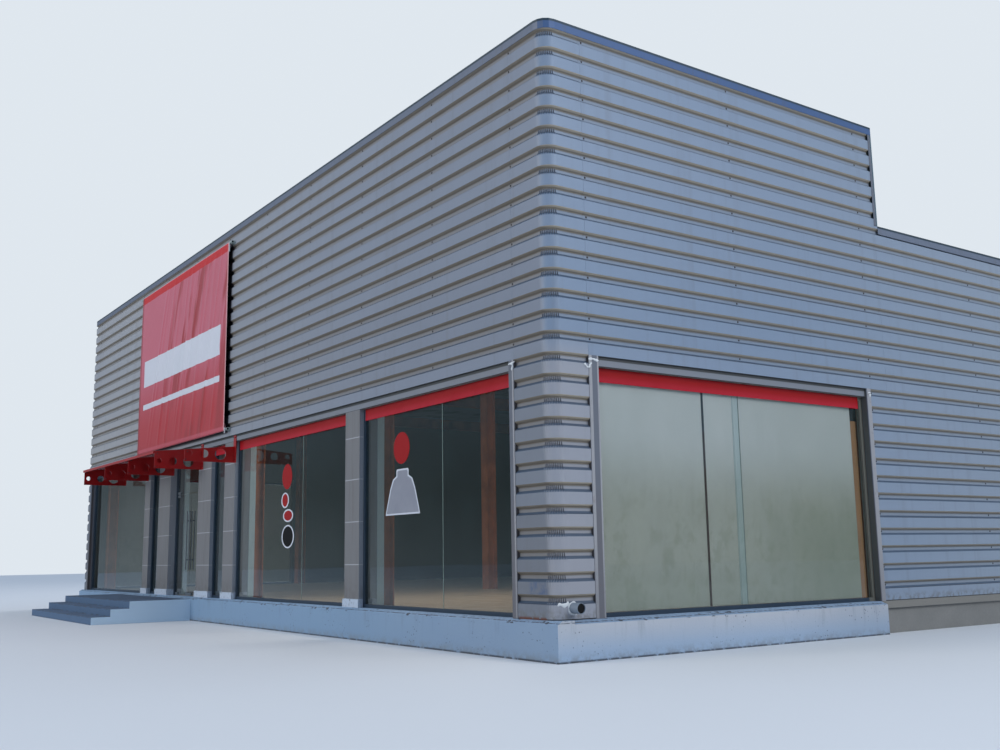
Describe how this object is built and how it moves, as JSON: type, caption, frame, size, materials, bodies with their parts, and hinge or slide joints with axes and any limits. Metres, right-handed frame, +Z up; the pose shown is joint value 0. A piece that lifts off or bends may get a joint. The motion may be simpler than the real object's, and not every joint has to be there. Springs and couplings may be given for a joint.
{
  "type": "showroom building",
  "caption": "Flat-roofed showroom with horizontal ribbed metal cladding, rounded front corners, a tall front volume, glazed shop front, entrance canopy and hinged glass doors.",
  "frame": {"origin": "on the ground in the middle of the underside of the front plinth, 60 mm behind the plane of the cladding crowns", "axes": "+X along the front towards the pictured corner, +Y from the front to the rear, +Z up"},
  "size_m": [20.365, 16.9443, 7.595],
  "materials": {
    "painted_plinth": "worn white masonry paint on concrete",
    "bare_concrete": "float-finished concrete",
    "floor_finish": "smooth floor tiles",
    "frame_steel": "red-brown primer",
    "roof_sheet": "light grey coated sheet",
    "cladding": "silver-grey metallic coating",
    "lining_board": "painted board",
    "flashing": "silver-grey metallic coating",
    "pier_panel": "grey facing panels",
    "window_frame": "grey-blue coated aluminium",
    "clear_glass": "clear glass",
    "frosted_glass": "glass with a matt film inside",
    "door_metal": "satin",
    "canopy_red": "dark red paint",
    "clear_sheet": "clear plastic sheet",
    "banner_cloth": "red coated cloth",
    "tube_steel": "galvanised",
    "pipe_plastic": "grey drain pipe"
  },
  "bodies": {
    "building": {"banner": "banner_cloth", "banner_tubes": "tube_steel", "canopy_brackets": "canopy_red", "canopy_covers": "clear_sheet", "canopy_rail": "canopy_red", "cladding_front": "cladding", "cladding_high_rear": "cladding", "cladding_left_high": "cladding", "cladding_left_low": "cladding", "cladding_rear": "cladding", "cladding_right_high": "cladding", "cladding_right_low": "cladding", "coping_high": "flashing", "coping_high_rear": "flashing", "coping_low": "flashing", "corner_sheet_left": "cladding", "corner_sheet_right": "cladding", "door_head": "window_frame", "door_overpanel": "clear_glass", "door_posts": "window_frame", "drain_pipe": "pipe_plastic", "entrance_steps": "bare_concrete", "floor_slab": "floor_finish", "head_bands": "flashing", "high_roof_beams": "frame_steel", "lining_corners": "lining_board", "lining_front": "lining_board", "lining_high_rear": "lining_board", "lining_left": "lining_board", "lining_rear": "lining_board", "lining_right": "lining_board", "low_roof_beams": "frame_steel", "overpanel_patches": "door_metal", "piers": "pier_panel", "plinth_front": "painted_plinth", "plinth_left": "painted_plinth", "plinth_rear": "bare_concrete", "plinth_right": "painted_plinth", "roof_high": "roof_sheet", "roof_low": "roof_sheet", "steel_columns": "frame_steel", "upright_trims": "flashing", "window_frames_front": "window_frame", "window_frames_side": "window_frame", "window_glass_front": "clear_glass", "window_glass_side": "frosted_glass", "window_trims": "flashing"},
    "left_door": {"door_leaf_left": "clear_glass", "door_fittings_left": "door_metal"},
    "right_door": {"door_leaf_right": "clear_glass", "door_fittings_right": "door_metal"}
  },
  "joints": [
    {"name": "left_door_swing", "type": "hinge", "parent": "building", "child": "left_door", "pos_m": [-3.192, 0.14, 0.48], "axis": [0, 0, -1], "range_deg": [0, 90]},
    {"name": "right_door_swing", "type": "hinge", "parent": "building", "child": "right_door", "pos_m": [-1.688, 0.14, 0.48], "axis": [0, 0, 1], "range_deg": [0, 90]}
  ]
}
